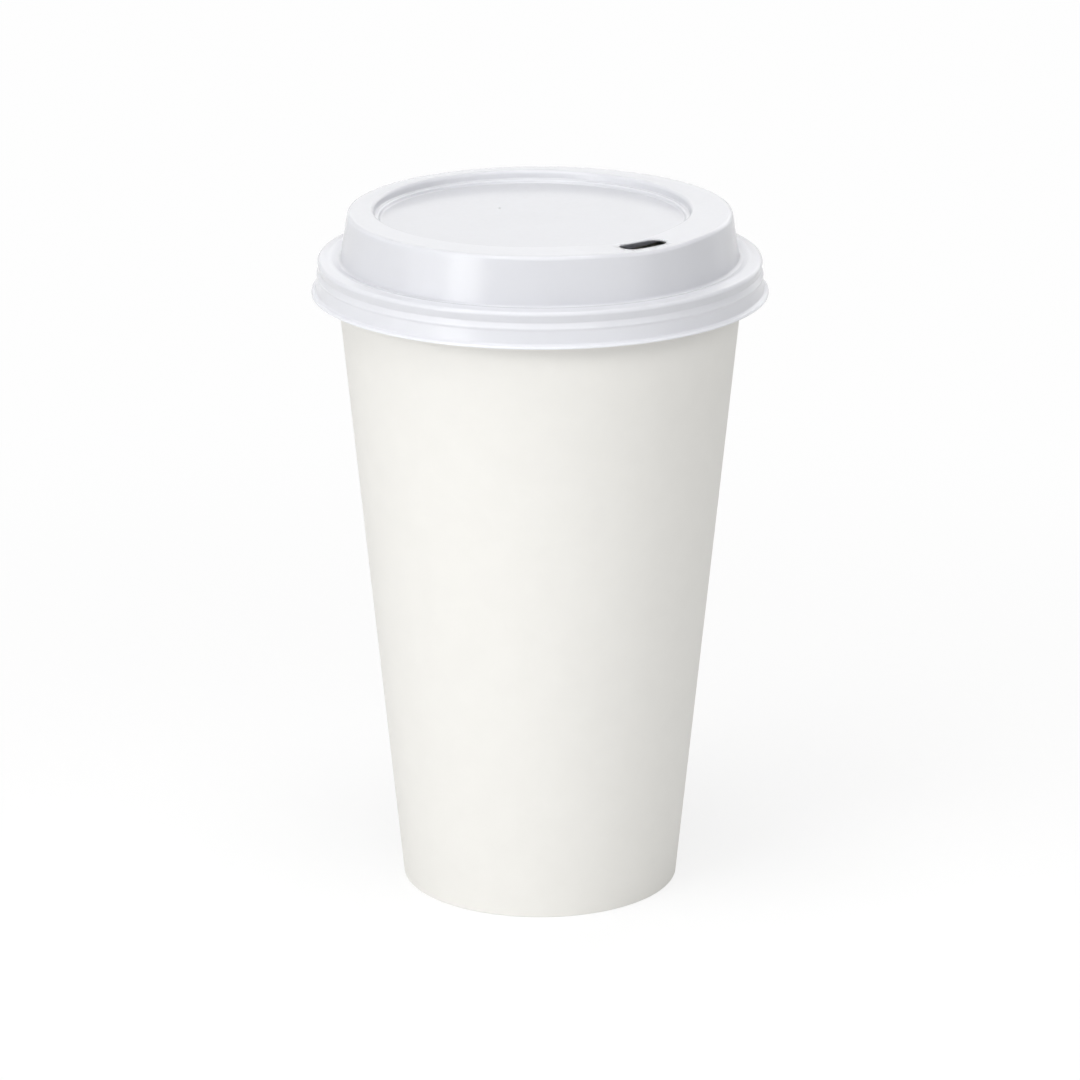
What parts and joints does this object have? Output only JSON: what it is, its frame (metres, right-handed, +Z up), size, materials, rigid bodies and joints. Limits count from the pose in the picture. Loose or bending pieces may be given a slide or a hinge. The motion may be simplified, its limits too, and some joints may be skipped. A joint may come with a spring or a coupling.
{
  "type": "paper cup with lid",
  "caption": "Tapered paper cup for hot drinks, with a rolled rim, a recessed bottom and a domed plastic sip lid that lifts off.",
  "frame": {"origin": "centre of the cup's foot, on the surface that it stands on", "axes": "+Z up along the cup's axis; -Y towards the lid's sip slot; the cut edge of the cup's side seam is on +Y"},
  "size_m": [0.094, 0.094, 0.1441],
  "materials": {
    "paperboard": "uncoated matt outside, faintly satin coating inside",
    "lid_plastic": "smooth glossy white sheet"
  },
  "bodies": {
    "cup": {"cup_sidewall": "paperboard", "cup_bottom": "paperboard"},
    "lid": {"lid": "lid_plastic"}
  },
  "joints": [
    {"name": "lid_lift", "type": "slide", "parent": "cup", "child": "lid", "axis": [0, 0, 1], "range_m": [0, 0.06]}
  ]
}
